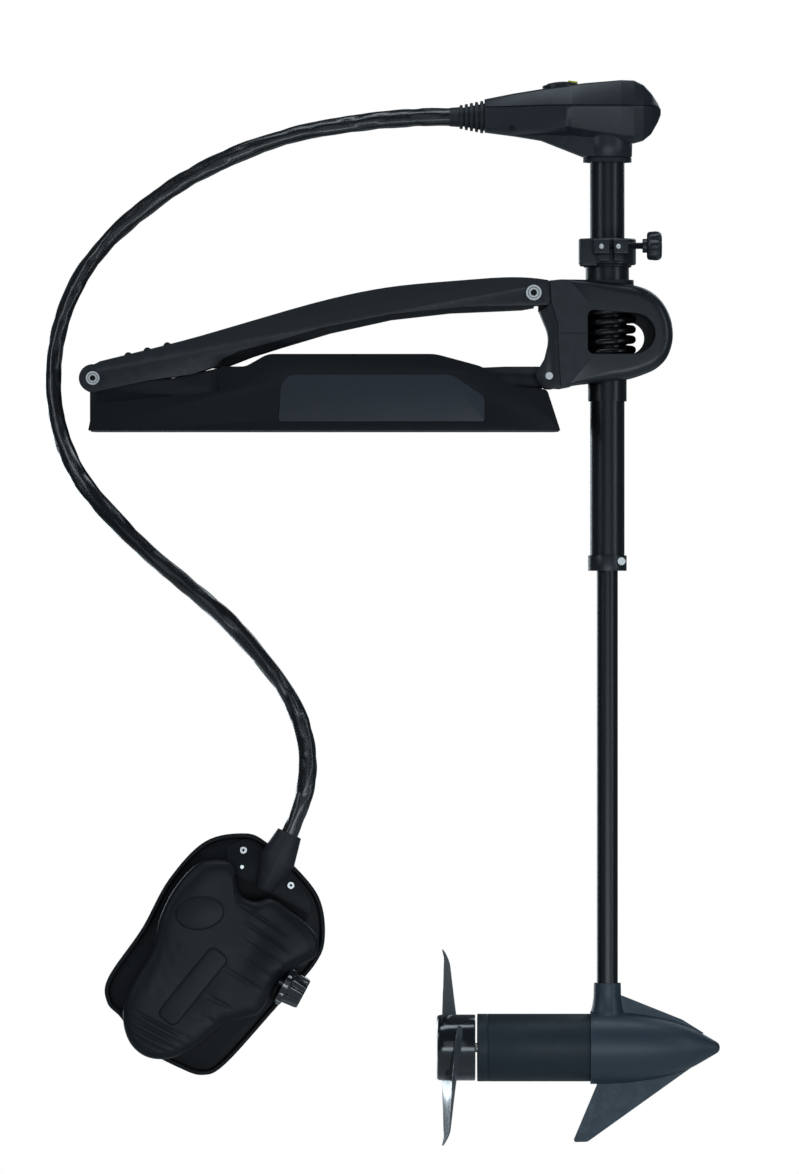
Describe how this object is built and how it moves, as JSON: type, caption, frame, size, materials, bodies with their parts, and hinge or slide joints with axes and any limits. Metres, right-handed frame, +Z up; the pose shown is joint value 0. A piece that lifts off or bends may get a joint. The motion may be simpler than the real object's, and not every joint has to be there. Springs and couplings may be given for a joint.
{
  "type": "trolling motor",
  "caption": "Bow-mounted electric trolling motor with folding arched mount, breakaway hub, clamped column, steered lower unit and a cord-linked foot pedal.",
  "frame": {"origin": "middle of the deck face of the mount's base plate", "axes": "+Z up along the shaft when deployed, +X along the base towards the shaft, -Y towards the side with the cord and pedal"},
  "size_m": [0.9178, 0.227, 1.4499],
  "materials": {
    "base_casting": "satin black",
    "cover_plastic": "fine-grained black",
    "panel_plastic": "fine matt",
    "stainless": "machined",
    "arm_casting": "satin black",
    "bush_plastic": "natural",
    "housing_plastic": "satin black",
    "sleeve": "satin",
    "spring_steel": "coated",
    "seal_rubber": "matt",
    "knob_plastic": "moulded",
    "tube_black": "satin black",
    "head_plastic": "fine-grained black",
    "pointer_paint": "gloss",
    "board": "laminate",
    "belt_rubber": "matt",
    "cord_sheath": "gloss",
    "pedal_plastic": "matt black",
    "treadle_rubber": "matt",
    "drum_plastic": "natural",
    "motor_casting": "matt charcoal",
    "motor_iron": "varnished",
    "bronze": "sintered",
    "lip_seal": "matt",
    "prop_plastic": "gloss black"
  },
  "bodies": {
    "mount": {"base_plate": "base_casting", "base_channel": "base_casting", "side_cover_near": "cover_plastic", "side_cover_far": "cover_plastic", "label_panels": "panel_plastic", "cover_screws": "stainless", "stern_bolt": "stainless"},
    "arm": {"upper_arm": "arm_casting", "arm_bushes": "bush_plastic"},
    "bracket": {"bracket_yoke": "arm_casting", "hub_shell_near": "housing_plastic", "hub_shell_far": "housing_plastic", "hub_screws": "stainless", "bow_bolt": "stainless", "link_pin": "stainless"},
    "link": {"lower_link": "arm_casting", "link_tail_pin": "stainless"},
    "hub": {"guide_sleeve": "sleeve", "seal_ring": "seal_rubber", "spring_seats": "sleeve", "coil_spring": "spring_steel", "depth_collar": "housing_plastic"},
    "thumbscrew": {"depth_knob": "knob_plastic"},
    "column": {"outer_tube": "tube_black", "column_bushes": "bush_plastic", "lower_collar": "sleeve", "column_screws": "stainless", "neck_ring": "seal_rubber", "head_lower_shell": "head_plastic", "head_upper_shell": "head_plastic", "cord_boot": "seal_rubber", "control_board": "board", "indicator_belt": "belt_rubber", "control_cord": "cord_sheath", "pedal_base": "pedal_plastic", "pedal_boot": "seal_rubber", "pedal_screws": "stainless", "treadle_pin": "stainless", "speed_potentiometer": "board"},
    "indicator": {"direction_indicator": "head_plastic", "indicator_pointer": "pointer_paint"},
    "foot_treadle": {"treadle": "treadle_rubber", "tread_insert": "treadle_rubber", "button_switch": "board"},
    "button": {"momentary_button": "knob_plastic"},
    "speed_dial": {"speed_knob": "knob_plastic"},
    "lower_unit": {"inner_shaft": "tube_black", "steering_drum": "drum_plastic", "motor_leads": "cord_sheath", "nose_housing": "motor_casting", "motor_can": "motor_casting", "rear_cap": "motor_casting", "motor_internals": "motor_iron", "motor_bearings": "bronze", "shaft_seal": "lip_seal", "through_bolts": "stainless"},
    "prop": {"propeller": "prop_plastic", "prop_shaft": "stainless", "armature": "motor_iron", "prop_fasteners": "stainless"}
  },
  "joints": [
    {"name": "arm_fold", "type": "hinge", "parent": "mount", "child": "arm", "pos_m": [-0.315, 0, 0.072], "axis": [0, -1, 0], "range_deg": [0, 112]},
    {"name": "bracket_tilt", "type": "hinge", "parent": "arm", "child": "bracket", "pos_m": [0.2835, 0, 0.188], "axis": [0, -1, 0], "range_deg": [-28, 0]},
    {"name": "link_swing", "type": "hinge", "parent": "bracket", "child": "link", "pos_m": [0.3045, 0, 0.075], "axis": [0, -1, 0], "range_deg": [0, 28]},
    {"name": "breakaway_tilt", "type": "hinge", "parent": "bracket", "child": "hub", "pos_m": [0.384, 0, 0.201], "axis": [0, -1, 0], "range_deg": [-3, 3], "stiffness_Nm_per_rad": 3000},
    {"name": "thumbscrew_turn", "type": "hinge", "parent": "hub", "child": "thumbscrew", "pos_m": [0.43, -0.046, 0.25108], "axis": [1, 0, 0], "range_deg": [-180, 180]},
    {"name": "depth_slide", "type": "slide", "parent": "hub", "child": "column", "axis": [0, 0, 1], "range_m": [-0.1, 0.2]},
    {"name": "steering", "type": "hinge", "parent": "column", "child": "lower_unit", "pos_m": [0.384, 0, -0.3], "axis": [0, 0, 1], "range_deg": [-170, 170]},
    {"name": "indicator_turn", "type": "hinge", "parent": "column", "child": "indicator", "pos_m": [0.322, 0, 0.45], "axis": [0, 0, 1], "range_deg": [-170, 170]},
    {"name": "treadle_rock", "type": "hinge", "parent": "column", "child": "foot_treadle", "pos_m": [-0.15055, -0.119, -0.72712], "axis": [0.8829, 0, -0.4695], "range_deg": [-9, 9]},
    {"name": "button_press", "type": "slide", "parent": "foot_treadle", "child": "button", "axis": [0, 1, 0], "range_m": [0, 0.003], "stiffness_N_per_m": 500},
    {"name": "speed_turn", "type": "hinge", "parent": "column", "child": "speed_dial", "pos_m": [-0.04911, -0.123, -0.74935], "axis": [0.8829, 0, -0.4695], "range_deg": [0, 270]},
    {"name": "prop_spin", "type": "hinge", "parent": "lower_unit", "child": "prop", "pos_m": [0.2, 0, -0.838], "axis": [1, 0, 0], "continuous": true}
  ],
  "couplings": [
    {"joint": "bracket_tilt", "follows": "arm_fold", "ratio": -0.25},
    {"joint": "link_swing", "follows": "arm_fold", "ratio": 0.25},
    {"joint": "indicator_turn", "follows": "steering", "ratio": 1},
    {"joint": "treadle_rock", "follows": "steering", "ratio": 0.05293}
  ]
}
